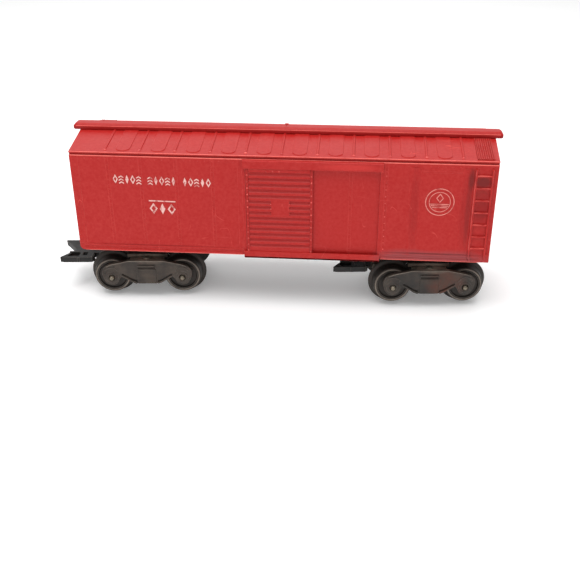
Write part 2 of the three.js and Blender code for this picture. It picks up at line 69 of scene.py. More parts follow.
def truck_space(side):
    """The truck's own space: its middle from the king rivet, its turn from the wheel joint."""
    low, high = (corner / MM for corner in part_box(f"king_rivet_{side}"))
    roll = next(j for j in frame["joints"] if j["name"] == f"wheelset_{side}_outer_roll")
    turn = math.atan2(-roll["axis"][0], roll["axis"][1])
    return Matrix.Translation(((low.x + high.x) / 2, 0, 0)) @ Matrix.Rotation(turn, 4, "Z")


TRUCKS = {side: truck_space(side) for side in ("left", "right")}

# ------------------------------------------------------------------ body sizes, millimetres
HALF_LENGTH = 195.7 / 2
HALF_WIDTH = 50.6 / 2
SIDE = -HALF_WIDTH              # the near side's face
ROOT = SIDE + 0.3               # how deep the mouldings on it begin
OUT = (0, -1, 0)                # away from the near side
WALL = 1.8
EAVE = 49.5
ROOF_EDGE = HALF_WIDTH + 0.1
SEAT = 3.0                      # half width of the flat along the ridge
GROOVE = (47.9, 48.9, 0.6)      # bottom, top and depth of the groove under the eave
DOOR = (-15.9, 15.0)            # ends of a closed door along x
TRACK = (-17.4, 46.8)           # ends of its tracks
DOOR_FACE = 25.4                # its outer face and the tracks' lips, from the middle plane
LIP = (25.7, 26.4)
RECESS = 1.0                    # how far the side is sunk behind a door
RIBS = [(rib - 5) * 16.35 + 0.4 for rib in range(11)]
LADDER = (87.7, 95.8)           # its ends along x, and its rungs' heights
RUNGS = [42.6 - 5.9 * rung for rung in range(7)]
SEAMS = (-81.0, -65.6, -49.0, -32.0, 47.6)
SEAM_RIVETS = 2.4               # from one rivet of a seam to the next

# ------------------------------------------------------------------ truck sizes
HALF_BASE = 17.45
AXLE_Z = 11.2
FLANGE = AXLE_Z                 # the flanges' radius: they stand on the ground
COUPLER_PIN = Matrix.Translation((-24.5, 0, 15.1))


# ------------------------------------------------------------------ drawing solids
def roof_height(y):
    return EAVE + (RIDGE - EAVE) * (ROOF_EDGE - abs(y)) / (ROOF_EDGE - SEAT)


def round_edges(bm, width, segments=2, angle=0.5):
    """Bevels every edge that turns by more than an angle in radians."""
    edges = [e for e in bm.edges if e.calc_face_angle(0) > angle]
    bmesh.ops.bevel(bm, geom=edges, offset=width, segments=segments, profile=0.5,
                    affect="EDGES", clamp_overlap=True)


def skin(bm, rings):
    """Faces from each ring of points to the next; a ring of one point is a tip."""
    for low, high in zip(rings, rings[1:]):
        for i in range(max(len(low), len(high))):
            around = ((low, i), (low, i + 1), (high, i + 1), (high, i))
            corners = list(dict.fromkeys(ring[k % len(ring)] for ring, k in around))
            if len(corners) > 2:
                bm.faces.new(corners)


class Draft:
    """Collects closed solids in millimetres; each call adds one."""

    def __init__(self):
        self.bm = bmesh.new()

    def absorb(self, bm, turn=None):
        """Adds a copy of another bmesh's solids, turned if asked."""
        scratch = bpy.data.meshes.new("scratch")
        bm.to_mesh(scratch)
        if turn is not None:
            scratch.transform(turn)
        self.bm.from_mesh(scratch)
        bpy.data.meshes.remove(scratch)
        return self

    def _keep(self, part, bevel=0.0, segments=2, place=None):
        bmesh.ops.recalc_face_normals(part, faces=part.faces)
        if bevel:
            round_edges(part, bevel, segments, 0.35)
        if place is not None:
            bmesh.ops.transform(part, matrix=place, verts=part.verts)
        return self.absorb(part)

    def hull(self, rings, bevel=0.0, segments=2, place=None):
        """A solid lofted through rings of equal length, closed by its end rings."""
        part = bmesh.new()
        made = [[part.verts.new(point) for point in ring] for ring in rings]
        skin(part, made)
        part.faces.new(list(reversed(made[0])))
        part.faces.new(made[-1])
        return self._keep(part, bevel, segments, place)

    def box(self, x, y, z, bevel=0.0, segments=2, place=None):
        corners = [(x[0], y[0]), (x[1], y[0]), (x[1], y[1]), (x[0], y[1])]
        return self.hull([[(a, b, h) for a, b in corners] for h in z], bevel, segments, place)

    def along(self, axis, points, span, bevel=0.0, segments=2):
        """An outline drawn out along an axis: (y, z) along X, (x, z) along Y, (x, y) along Z."""
        spread = {
            "X": lambda a, b, t: (t, a, b),
            "Y": lambda a, b, t: (a, t, b),
            "Z": lambda a, b, t: (a, b, t),
        }[axis]
        return self.hull([[spread(a, b, t) for a, b in points] for t in span], bevel, segments)

    def rail(self, line, y, depth, bevel=0.0, segments=2):
        """A bar that follows a line of (x, z) points, between two y, of a given depth."""
        return self.hull([[(x, y[0], z), (x, y[1], z), (x, y[1], z - depth), (x, y[0], z - depth)]
                          for x, z in line], bevel, segments)

    def turned(self, profile, sides, place=None, closed=False):
        """A (radius, height) profile turned about Z; open profiles start and end on the axis."""
        part = bmesh.new()
        rings = []
        for radius, height in profile:
            angles = [2 * math.pi * i / sides for i in range(sides if radius else 1)]
            rings.append([part.verts.new((radius * math.cos(angle), radius * math.sin(angle),
                                          height)) for angle in angles])
        skin(part, rings + rings[:1] if closed else rings)
        return self._keep(part, place=place)

    def dome(self, centre, radius, height, toward=(0, 0, 1), sides=10):
        """A small round rivet head whose base is sunk a little into its surface."""
        shade_band = -0.25 * height
        profile = [(0, shade_band), (radius, shade_band), (radius, 0.15 * height),
                   (radius * 0.86, 0.6 * height), (radius * 0.5, 0.92 * height), (0, height)]
        aim = Vector((0, 0, 1)).rotation_difference(Vector(toward)).to_matrix().to_4x4()
        return self.turned(profile, sides, Matrix.Translation(centre) @ aim)

    def repeat_turned_round(self):
        """Adds the same solids again, turned half round, for the far side."""
        return self.absorb(self.bm, TURN)

    def mesh(self, name, space):
        mesh = bpy.data.meshes.new(name)
        self.bm.to_mesh(mesh)
        self.bm.free()
        mesh.transform(Matrix.Scale(MM, 4) @ space)
        return mesh


def add_object(name, data):
    obj = bpy.data.objects.new(name, data)
    bpy.context.scene.collection.objects.link(obj)
    return obj


def carve(draft, cutters):
    """Cuts each cutter draft from the first one and gives the result as a new draft."""
    in_millimetres = Matrix.Scale(1 / MM, 4)
    base = add_object("carve_base", draft.mesh("carve_base", in_millimetres))
    tools = [add_object("carve_tool", cutter.mesh("carve_tool", in_millimetres))
             for cutter in cutters]
    for tool in tools:
        modifier = base.modifiers.new("cut", "BOOLEAN")
        modifier.object = tool
        modifier.operation = "DIFFERENCE"
        modifier.solver = "EXACT"
    graph = bpy.context.evaluated_depsgraph_get()
    cut_mesh = bpy.data.meshes.new_from_object(base.evaluated_get(graph))
    result = Draft()
    result.bm.from_mesh(cut_mesh)
    bmesh.ops.dissolve_limit(result.bm, angle_limit=0.01, verts=result.bm.verts,
                             edges=result.bm.edges)
    for obj in (base, *tools):
        bpy.data.objects.remove(obj)
    bpy.data.meshes.remove(cut_mesh)
    return result


def piece(name, draft, space, material, body, slot, *nodes, smooth=40):
    """Turns a draft into a finished piece that rides on a body and stands for CAD nodes."""
    mesh = draft.mesh(name, space)
    mesh.materials.append(MATERIALS[material])
    mesh.polygons.foreach_set("use_smooth", [True] * len(mesh.polygons))
    mesh.set_sharp_from_angle(angle=math.radians(smooth))
    obj = add_object(name, mesh)
    weighted = obj.modifiers.new("even_faces", "WEIGHTED_NORMAL")
    weighted.keep_sharp = True
    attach(obj, body)
    if nodes:
        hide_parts(*nodes)
    return obj


def arc(centre, radius, start, end, steps, squash=1.0):
    """Points of a round stretch, from start to end degrees."""
    angles = [math.radians(start + (end - start) * step / steps) for step in range(steps + 1)]
    return [(centre[0] + radius * math.cos(angle), centre[1] + radius * squash * math.sin(angle))
            for angle in angles]


def mirrored(half):
    """A half outline or line from its right end, joined to its mirror image."""
    return half + [(-x, z) for x, z in reversed(half)]


# ------------------------------------------------------------------ materials
def linear(red, green, blue):
    """Screen colour, 0 to 255, as the linear colour that a shader takes."""
    return tuple(((c / 255 + 0.055) / 1.055) ** 2.4 if c > 10 else c / 255 / 12.92
                 for c in (red, green, blue)) + (1.0,)


class Nodes:
    """A short way to wire one material's nodes."""

    def __init__(self, name):
        self.material = bpy.data.materials.new(name)
        self.material.use_nodes = True
        self.tree = self.material.node_tree
        self.shader = self.tree.nodes["Principled BSDF"]
        self.place = self.add("TexCoord").outputs["Object"]

    def feed(self, socket, value):
        """Gives a socket a number, vector or colour, or links it to another socket."""
        if isinstance(value, (int, float, tuple)):
            socket.default_value = value
        else:
            self.tree.links.new(value, socket)

    def add(self, kind, inputs=(), **settings):
        """A shader node with its settings, then its inputs by name or number."""
        node = self.tree.nodes.new("ShaderNode" + kind)
        for key, value in settings.items():
            setattr(node, key, value)
        for key, value in dict(inputs).items():
            self.feed(node.inputs[key], value)
        return node

    def noise(self, scale, detail=4.0, roughness=0.55):
        return self.add("TexNoise", {"Vector": self.place, "Scale": scale, "Detail": detail,
                                     "Roughness": roughness}).outputs["Fac"]

    def ramp(self, value, low, high, to_low=0.0, to_high=1.0):
        return self.add("MapRange", {"Value": value, "From Min": low, "From Max": high,
                                     "To Min": to_low, "To Max": to_high},
                        clamp=True).outputs["Result"]

    def math(self, operation, a, b=0.0):
        return self.add("Math", {0: a, 1: b}, operation=operation).outputs["Value"]

    def times(self, a, b):
        return self.math("MULTIPLY", a, b)

    def vector(self, operation, a, b=(0, 0, 0)):
        return self.add("VectorMath", {0: a, 1: b}, operation=operation).outputs

    def patchy(self, scale, low, high):
        """A value that drifts between two, for roughness."""
        return self.ramp(self.noise(scale, 4, 0.6), 0.25, 0.75, low, high)

    def mix(self, factor, a, b):
        node = self.add("Mix", data_type="RGBA")
        sockets = {socket.identifier: socket for socket in node.inputs}
        for key, value in (("Factor_Float", factor), ("A_Color", a), ("B_Color", b)):
            self.feed(sockets[key], value)
        return node.outputs[2]

    def crevice(self, reach):
        """1 in tight corners, 0 on open surfaces: the mask where shade is painted into corners
        and creases.
        """
        node = self.add("AmbientOcclusion", {"Distance": reach * MM}, samples=8, only_local=True)
        return self.ramp(node.outputs["AO"], 0.85, 0.35)

    def edge(self, reach):
        """1 on rounded edges, where handling rubs, and 0 on flats."""
        rounded = self.add("Bevel", {"Radius": reach * MM}, samples=6).outputs["Normal"]
        plain = self.add("NewGeometry").outputs["Normal"]
        bent = self.ramp(self.vector("DOT_PRODUCT", rounded, plain)["Value"], 0.995, 0.90)
        return self.times(bent, self.math("SUBTRACT", 1.0, self.crevice(reach * 2)))

    def tint_spot(self, centre, size):
        """1 at a place in the frame, in metres, fading to 0 about size away from it."""
        away = self.vector("SUBTRACT", self.place, centre)[0]
        away = self.vector("DIVIDE", away, size)[0]
        return self.ramp(self.vector("LENGTH", away)["Value"], 1.0, 0.45)

    def hairlines(self, scale, stretch, turn, rarity):
        """Thin wandering scratches: the middle contour of a stretched noise, in patches."""
        place = self.add("Mapping", {"Vector": self.place, "Scale": stretch,
                                     "Rotation": (0, turn, turn * 0.7)}).outputs["Vector"]
        waves = self.add("TexNoise", {"Vector": place, "Scale": scale, "Detail": 1.5})
        off = self.math("ABSOLUTE", self.math("SUBTRACT", waves.outputs["Fac"], 0.5))
        patches = self.ramp(self.noise(scale * 0.9, 2), rarity, rarity + 0.05)
        return self.times(self.ramp(off, 0.004, 0.0), patches)

    def bump(self, height, strength, distance, onto=None):
        inputs = {"Height": height, "Strength": strength, "Distance": distance * MM}
        if onto is not None:
            inputs["Normal"] = onto
        return self.add("Bump", inputs).outputs["Normal"]

    def finish(self, colour, roughness, normal=None):
        self.feed(self.shader.inputs["Base Color"], colour)
        self.feed(self.shader.inputs["Roughness"], roughness)
        if normal is not None:
            self.feed(self.shader.inputs["Normal"], normal)
        return self.material


def red_plastic(name, base, faded, worn, corner_shade_amount, tinted_patches=(), blotch=(0.3, 0.65),
                shade_band=None):
    """Moulded red plastic: a little faded, pale where rubbed, with painted shade in its corners.

    The patches are (centre, size, amount, colour): real stains and dust, painted shade and
    painted light. The band is (axis, dark at, clear from, amount): painted shade that darkens
    grooves or the lower side of a part, by distance from the middle plane or height, in
    millimetres.
    """
    n = Nodes(name)
    cloud = n.ramp(n.noise(22, 4, 0.55), 0.35, 0.7)
    colour = n.mix(n.times(cloud, 0.35), base, faded)
    grain = n.ramp(n.noise(700, 3, 0.6), 0.3, 0.7)
    colour = n.mix(n.times(grain, 0.12), colour, worn)
    # Pale on rounded edges: rubbed wear, which also paints some highlight along ledges and edges.
    rub = n.times(n.edge(0.3), n.ramp(n.noise(160, 3, 0.6), 0.25, 0.6))
    colour = n.mix(n.times(rub, 0.4), colour, worn)
    scratches = n.math("MAXIMUM", n.hairlines(70, (0.35, 1, 1.0), 0.5, 0.57),
                       n.hairlines(90, (1.0, 1, 0.25), -0.4, 0.58))
    colour = n.mix(n.times(scratches, 0.4), colour, worn)
    # Painted shade: corners and creases darkened toward the deep red, in patches.
    corner_shade = n.times(n.crevice(0.8), n.ramp(n.noise(90, 4, 0.6), 0.2, 0.6))
    colour = n.mix(n.times(corner_shade, corner_shade_amount), colour, SHADE_RED)
    # Painted shade: grooves or a part's lower side darkened toward the deep red.
    if shade_band:
        axis, dark, clear, amount = shade_band
        split = n.add("SeparateXYZ", {"Vector": n.place})
        away = n.math("ABSOLUTE", split.outputs[axis])
        band_shade = n.ramp(away, dark * MM, clear * MM, amount, 0.0)
        colour = n.mix(band_shade, colour, SHADE_RED)
    # Patches that fade out from a place: real stains and dust, and painted shade and light.
    for centre, size, amount, tint in tinted_patches:
        patch = n.times(n.tint_spot(centre, size), n.ramp(n.noise(160, 4, 0.65), *blotch))
        colour = n.mix(n.times(patch, amount), colour, tint)
    rough = n.patchy(45, 0.36, 0.50)
    rough = n.math("ADD", rough, n.times(scratches, 0.15))
    rough = n.math("ADD", rough, n.times(corner_shade, 0.15))
    skin = n.bump(n.noise(1100, 2, 0.5), 0.12, 0.04)
    normal = n.bump(scratches, 0.3, -0.03, onto=skin)
    n.shader.inputs["Specular IOR Level"].default_value = 0.25
    return n.finish(colour, rough, normal)


def pale_highlight_plastic(name, base, worn, spread=(0.20, 0.50)):
    """The same red made pale in patches: painted highlights on edges, rivet heads and ladder
    bars, with some rubbed wear.
    """
    n = Nodes(name)
    patch = n.ramp(n.noise(240, 4, 0.65), *spread)
    colour = n.mix(n.times(patch, 0.9), base, worn)
    rough = n.patchy(60, 0.34, 0.46)
    normal = n.bump(n.noise(1100, 2, 0.5), 0.12, 0.04)
    return n.finish(colour, rough, normal)


def dark_plastic(name, base, dust, tinted_patches=()):
    """Dull dark moulding with dust on its flats, rubbed edges, rusty stains, painted light on lit
    tops and painted shade in its corners.
    """
    n = Nodes(name)
    patch = n.ramp(n.noise(130, 5, 0.65), 0.35, 0.7)
    colour = n.mix(n.times(patch, 0.75), base, dust)
    for centre, size, tint_spot in tinted_patches:
        spread = n.times(n.tint_spot(centre, size), n.ramp(n.noise(140, 5, 0.65), 0.3, 0.6))
        colour = n.mix(n.times(spread, 0.8), colour, tint_spot)
    rub = n.times(n.edge(0.35), n.ramp(n.noise(200, 3, 0.6), 0.3, 0.6))
    colour = n.mix(n.times(rub, 0.8), colour, linear(112, 104, 96))
    # Painted shade: corners and creases darkened to near black.
    colour = n.mix(n.times(n.crevice(1.0), 0.6), colour, linear(14, 12, 11))
    rough = n.patchy(80, 0.42, 0.68)
    normal = n.bump(n.noise(420, 4, 0.6), 0.3, 0.08)
    n.shader.inputs["Specular IOR Level"].default_value = 0.4
    return n.finish(colour, rough, normal)


def worn_metal(name, base, bright, metallic, rub_amount, roughness):
    """Darkened metal that shines where it is rubbed."""
    n = Nodes(name)
    patch = n.ramp(n.noise(150, 5, 0.6), 0.3, 0.7)
    colour = n.mix(n.times(patch, 0.45), base, bright)
    rub = n.times(n.edge(0.25), n.ramp(n.noise(180, 3, 0.6), 0.25, 0.5))
    colour = n.mix(n.times(rub, rub_amount), colour, linear(160, 150, 136))
    # Painted shade: corners and creases darkened.
    colour = n.mix(n.times(n.crevice(0.8), 0.35), colour, linear(20, 17, 15))
    rough = n.patchy(110, *roughness)
    normal = n.bump(n.noise(500, 3, 0.6), 0.25, 0.05)
    n.shader.inputs["Metallic"].default_value = metallic
    return n.finish(colour, rough, normal)


def white_stamp(name, ink, ground):
    """Thin hot-stamped white, rubbed through to the plastic in places."""
    n = Nodes(name)
    worn = n.ramp(n.noise(420, 4, 0.7), 0.50, 0.62)
    colour = n.mix(n.times(worn, 0.75), ink, ground)
    rough = n.ramp(n.noise(90, 3, 0.5), 0.3, 0.7, 0.4, 0.6)
    normal = n.bump(n.noise(700, 2, 0.5), 0.2, 0.04)
    return n.finish(colour, rough, normal)


def in_metres(space, *point):
    """A point of a local space, as a place in the frame."""
    return tuple((space @ Vector(point)) * MM)


RED = (0.40, 0.006, 0.005, 1)
FADED_RED = (0.45, 0.012, 0.010, 1)
WORN_RED = (0.80, 0.12, 0.10, 1)
# The deep red toward which painted shade darkens creases, grooves and soft bands.
SHADE_RED = (0.24, 0.002, 0.002, 1)
# A dark maroon for darker patches by the ladder and a painted shadow line above the sill.
DARK_MAROON = (0.085, 0.006, 0.005, 1)
DUSTY_PINK = linear(150, 66, 68)
# A brighter red for painted light.
PAINTED_LIGHT_RED = (0.62, 0.035, 0.03, 1)
# Darker and lighter patches on each side. Painted shade: the soft bands by the posts (61.3 and
# 84.0), the band at the ladder's foot (91.7, 26.0) and the dark lines above the sill (70.0 and
# -60.0). Painted light: the pale band along the upper door track (31.0). The rest are darker
# tints between the ladder's upper rungs and left of it, and pink dust on the sill.
# x and z on a side, reach along x and z in millimetres, strength and colour
SIDE_TINTS = ((91.7, 39.6, 4.6, 3.6, 0.68, DARK_MAROON),
               (91.7, 33.8, 4.2, 3.0, 0.30, DARK_MAROON),
               (91.7, 26.0, 4.6, 8.0, 0.60, SHADE_RED),
               (86.3, 41.0, 2.0, 6.5, 0.55, DARK_MAROON),
               (86.0, 25.0, 1.8, 22.0, 0.35, DARK_MAROON),
               (61.3, 26.0, 2.6, 24.0, 0.30, SHADE_RED),
               (84.0, 26.0, 2.4, 24.0, 0.30, SHADE_RED),
               (31.0, 45.4, 16.0, 1.9, 0.55, PAINTED_LIGHT_RED),
               (60.0, 1.2, 19.0, 5.2, 0.85, DUSTY_PINK),
               (81.0, 1.2, 19.0, 5.2, 0.85, DUSTY_PINK),
               (70.0, 3.7, 24.0, 0.45, 0.60, DARK_MAROON),
               (-60.0, 3.5, 38.0, 0.5, 0.50, SHADE_RED))
SIDE_TINT_PATCHES = [(in_metres(BODY, sign * x, sign * SIDE, z), (wide * MM, 0.01, high * MM), amount, tint)
          for sign in (1, -1) for x, z, wide, high, amount, tint in SIDE_TINTS]
RUST = linear(92, 52, 38)
OIL = linear(34, 31, 28)
SHELF_LIGHT_TAN = linear(172, 154, 136)
# places on a truck, reach in metres and colour
RIGHT_TRUCK_STAINS = [(in_metres(TRUCKS["right"], -6, -23, 13), (0.022, 0.02, 0.012), OIL),
                      (in_metres(TRUCKS["right"], 16, -22, 12), (0.010, 0.02, 0.010), OIL),
                      (in_metres(TRUCKS["right"], 8, -23, 14), (0.011, 0.02, 0.010), RUST)]
# Painted light: a pale tan on the tops of the bolster ends, as if lit, on both trucks.
SHELF_LIGHT = [(in_metres(truck, 0, y, 20.4), (0.0125, 0.0048, 0.0030), SHELF_LIGHT_TAN)
              for truck in TRUCKS.values() for y in (-19.5, 19.5)]
MATERIALS = {
    "body_red": red_plastic("body_red", RED, FADED_RED, WORN_RED, 0.45, SIDE_TINT_PATCHES, (0.1, 0.45)),
    # Painted shade on the board's lower sides and in the door's grooves.
    "board_red": red_plastic("board_red", RED, FADED_RED, WORN_RED, 0.25,
                             shade_band=("Z", SILL + RIDGE + 1.0, SILL + RIDGE + 1.7, 0.6)),
    "door_red": red_plastic("door_red", RED, FADED_RED, WORN_RED, 0.6,
                            shade_band=("Y", DOOR_FACE + 0.05, DOOR_FACE + 0.50, 0.42)),
    # Paler reds for painted highlights on edges, rivet heads and ladder bars.
    "highlight_red": pale_highlight_plastic("highlight_red", (0.55, 0.035, 0.03, 1), (0.88, 0.15, 0.12, 1)),
    "rivet_highlight_red": pale_highlight_plastic("rivet_highlight_red", (0.44, 0.012, 0.010, 1), (0.80, 0.12, 0.10, 1),
                                (0.38, 0.62)),
    "black_paint": dark_plastic("black_paint", linear(18, 17, 16), linear(34, 31, 28)),
    "truck_frame": dark_plastic("truck_frame", linear(42, 35, 30), linear(82, 71, 61),
                                RIGHT_TRUCK_STAINS + SHELF_LIGHT),
    "coupler_black": dark_plastic("coupler_black", linear(15, 14, 13), linear(36, 33, 29)),
    "wheel_metal": worn_metal("wheel_metal", linear(36, 31, 27), linear(60, 50, 43), 0.25,
                              0.35, (0.45, 0.65)),
    "rim_metal": worn_metal("rim_metal", linear(86, 77, 69), linear(164, 152, 139), 0.4,
                            0.5, (0.38, 0.55)),
    "axle_steel": worn_metal("axle_steel", linear(112, 104, 90), linear(156, 146, 130), 0.7,
                             0.5, (0.32, 0.50)),
    "fastener_steel": worn_metal("fastener_steel", linear(84, 76, 68), linear(124, 114, 102),
                                 0.6, 0.6, (0.38, 0.55)),
    "stamp": white_stamp("white_stamp", linear(230, 182, 174), RED),
    "faded_stamp": white_stamp("faded_stamp", linear(222, 134, 124), RED),
}


# ------------------------------------------------------------------ body shell
def shell_walls():
    """The hollow box with its roof, door recesses, doorways and eave grooves."""
    inner = HALF_WIDTH - WALL
    groove = HALF_WIDTH - GROOVE[2] - 0.2
    ledge = 0.45
    half = [(HALF_WIDTH, 0)]
    half += arc((HALF_WIDTH - ledge, GROOVE[0] - ledge), ledge, 0, 90, 4)
    half += [(groove, GROOVE[0]), (groove, GROOVE[1] + 0.3)]
    walls = Draft().along("X", mirrored(half), (-HALF_LENGTH, HALF_LENGTH))
    cutters = [Draft().box((-HALF_LENGTH + WALL, HALF_LENGTH - WALL), (-inner, inner),
                           (-1, EAVE + 5))]
    for _, turn in NEAR_AND_FAR:
        cutters += [Draft().box((TRACK[0] + 1.2, TRACK[1] - 1.2), (SIDE - 1, SIDE + RECESS),
                                (-1, 46.6), place=turn),
                    Draft().box((-13.5, 12.6), (SIDE - 1, -inner + 1), (3.2, 42.6), place=turn)]
    end, round_by = -HALF_LENGTH, 2.2
    corner = [(end - 1, round_by), (end - 1, -1), (end + round_by, -1)]
    corner += arc((end + round_by, round_by), round_by, 270, 180, 8)
    cutters.append(Draft().along("Y", corner, (-30, 30)))
    walls = carve(walls, cutters)
    round_edges(walls.bm, 0.2, 2, 0.9)
    return walls.absorb(roof_slab().bm)


def roof_end(z):
    """How far along x the roof reaches: past the wall at the ridge, level with it below."""
    return HALF_LENGTH + 0.05 + 0.6 * min(max((z - EAVE) / (RIDGE - EAVE), 0), 1)


def roof_slab():
    """The roof over the walls, standing a little past the ends, and the gables under it."""
    half = [(ROOF_EDGE, GROOVE[1])] + arc((ROOF_EDGE - 0.5, EAVE - 0.45), 0.5, 10, 75, 4)
    half.append((SEAT, RIDGE))
    under = [(ROOF_EDGE - 1.3, GROOVE[1]), (SEAT, RIDGE - WALL)]
    section = mirrored(half) + [(-y, z) for y, z in under] + under[::-1]
    slab = Draft()
    slab.hull([[(sign * roof_end(z), y, z) for y, z in section] for sign in (-1, 1)], 0.15)
    reach = 24.3
    shoulder = roof_height(reach) - 0.2
    gable = [(-reach, GROOVE[1]), (reach, GROOVE[1]), (reach, shoulder),
             (SEAT, RIDGE - 0.4), (-SEAT, RIDGE - 0.4), (-reach, shoulder)]
    for sign in (-1, 1):
        slab.along("X", gable, (sign * (HALF_LENGTH - WALL), sign * HALF_LENGTH))
    return slab


def add_tracks(body):
    """Lipped tracks that hold the door, a little proud of the side."""
    near, far = -LIP[1], -LIP[0]
    web = (near + 0.04, ROOT)
    top = [(ROOT, 47.8), (SIDE, 47.8), (-26.1, 47.55), (near, 47.2), (near, 43.65),
           (near + 0.05, 43.6), (far, 43.6), (far, 46.6), (ROOT, 46.6)]
    body.along("X", top, TRACK, 0.08, 1)
    body.box(TRACK, (near, SIDE + WALL), (-1.1, -0.1), 0.2)
    body.box(TRACK, (near, far), (-1.1, 2.4), 0.2)
    body.box(TRACK, (SIDE + RECESS, SIDE + WALL), (-1.1, 0.4), 0.1)
    for x in ((TRACK[0] + 0.05, TRACK[0] + 1.15), (TRACK[1] - 1.15, TRACK[1] - 0.05)):
        body.box(x, web, (43.65, 47.1), 0.1)
        body.box(x, web, (-1.05, 2.35), 0.1)


def add_ladder(body):
    """Moulded ladder at the right-hand end of a side."""
    left, right = LADDER
    for x in ((left, left + 0.9), (right - 0.9, right)):
        body.box(x, (SIDE - 1.1, ROOT), (2.0, 45.9), 0.22)
    for z in RUNGS:
        body.box((left + 0.1, right - 0.1), (SIDE - 0.9, ROOT), (z - 0.4, z + 0.4), 0.2)


def add_seam(body, x, face, low, high):
    """One overlap of two side sheets: a thin step and its row of small rivets."""
    body.box((x, x + 1.3), (face - 0.04, face + 0.3), (low, high), 0.03, 1)
    for step in range(int((high - low - 2) / SEAM_RIVETS)):
        spot = (x + 0.65, face - 0.05, low + 1.6 + step * SEAM_RIVETS)
        body.dome(spot, 0.26, 0.12, OUT, 8)


def add_post(body, x):
    """A soft upright swelling in the side, as if a post stood behind it."""
    swell = [(x - 2.6, SIDE + 0.2), (x - 2.2, SIDE - 0.01), (x - 0.9, SIDE - 0.26),
             (x + 0.9, SIDE - 0.26), (x + 2.2, SIDE - 0.01), (x + 2.6, SIDE + 0.2)]
    body.along("Z", swell, (4.2, GROOVE[0] - 2.2))


def add_side_panels(body):
    """Overlapping side sheets, the seam inside the door recess and a row of eave rivets."""
    for x in SEAMS:
        add_seam(body, x, SIDE, 3.6, GROOVE[0] - 0.6)
    add_seam(body, 31.6, SIDE + RECESS, 0.6, 46.4)
    body.box((TRACK[0] - 2.2, TRACK[0] - 0.2), (SIDE - 0.05, ROOT), (3.6, GROOVE[0] - 0.6),
             0.04, 1)
    for x in (61.3, 84.3):
        add_post(body, x)
    body.box((63.5, 82.0), (SIDE - 0.07, ROOT), (43.6, 44.3), 0.06, 1)
    body.box((-HALF_LENGTH + 0.15, -HALF_LENGTH + 3.9), (SIDE - 0.12, ROOT),
             (3.4, GROOVE[0] - 0.5), 0.1, 1)
    x = -94.0
    while x < 86.0:
        if not TRACK[0] - 2 < x < TRACK[1] + 2:
            body.dome((x, SIDE, 46.4), 0.28, 0.14, OUT, 8)
        x += 3.3


def add_sill(body):
    """The bottom edge of a side: a bead above it, a corner block and a small step."""
    for x in ((-HALF_LENGTH + 2.4, TRACK[0] - 0.6), (TRACK[1] + 0.6, 93.8)):
        body.box(x, (SIDE - 0.25, ROOT), (2.5, 3.3), 0.12)
        body.box(x, (SIDE - 0.35, ROOT), (0.1, 1.2), 0.15)
    body.box((94.8, HALF_LENGTH), (SIDE - 0.4, ROOT), (0.2, 4.4), 0.3)
    body.box((88.2, 89.0), (SIDE - 0.9, ROOT), (0.6, 3.0), 0.15)


def add_roof(body):
    """Ribs with a rivet at the foot and, between them, raised panels with round ends."""
    outer = ROOF_EDGE - 2.4
    inner = SEAT + 0.2
    for x in RIBS:
        rings = []
        for y, rise in ((outer, 0.22), (outer - 1.5, 0.42), (inner, 0.42)):
            base = roof_height(y)
            rings.append([(x - 0.66, -y, base - 0.3), (x + 0.66, -y, base - 0.3),
                          (x + 0.60, -y, base + 0.4 * rise), (x + 0.34, -y, base + rise),
                          (x - 0.34, -y, base + rise), (x - 0.60, -y, base + 0.4 * rise)])
        body.hull(rings, 0.08, 1)
    half = 3.4
    foot = ROOF_EDGE - 1.5
    for left, right in zip(RIBS, RIBS[1:]):
        middle = (left + right) / 2
        plan = [(middle + half, -inner), (middle - half, -inner)]
        plan += arc((middle, -foot + 2.6), half, 180, 360, 10, 2.6 / half)
        low = [(x, y, roof_height(y) - 0.3) for x, y in plan]
        high = [(x, y, roof_height(y) + 0.27) for x, y in plan]
        body.hull([high, low], 0.24, 3)


def on_roof(body, x, y, rise, bevel=0.05):
    corners = [(x[0], -y[0]), (x[1], -y[0]), (x[1], -y[1]), (x[0], -y[1])]
    low = [(a, b, roof_height(b) - 0.2) for a, b in corners]
    high = [(a, b, roof_height(b) + rise) for a, b in corners]
    body.hull([low, high], bevel, 1)


def add_walkway(body):
    """A latticed walkway from the running board to the ladder, at the right-hand end."""
    x0, x1 = 88.2, 95.8
    y0, y1 = ROOF_EDGE - 1.4, SEAT + 1.2
    across, along = 8, 19
    on_roof(body, (x0, x1), (y0, y1), 0.12)
    for i in range(1, across):
        x = x0 + (x1 - x0) * i / across
        on_roof(body, (x - 0.17, x + 0.17), (y0, y1), 0.36)
    for i in range(along + 1):
        y = y0 + (y1 - y0 + 0.34) * i / along
        on_roof(body, (x0, x1), (y, y - 0.34), 0.40)
    for x in (x0 + 0.2, x1 - 0.95, x1 - 0.2):
        on_roof(body, (x - 0.2, x + 0.2), (y0, y1), 0.56, 0.1)


def add_end(body):
    """Pressed ribs across the right-hand end, with plain posts at its corners."""
    face = HALF_LENGTH
    for rib in range(8):
        z = 6 + rib * 5.2
        bulge = [(face - 0.3, z - 1.5)] + arc((face - 0.3, z), 0.8, -60, 60, 6, 1.7)
        bulge += [(face - 0.3, z + 1.5)]
        body.along("Y", bulge, (-HALF_WIDTH + 4, HALF_WIDTH - 4), 0.1, 1)
        for side in (-1, 1):
            for height in (z, z + 2.6):
                body.dome((face, side * (HALF_WIDTH - 2), height), 0.36, 0.22, (1, 0, 0), 8)
    body.box((87.5, HALF_LENGTH - WALL + 0.3), (-4, 4), (2.8, 12), 0.3)


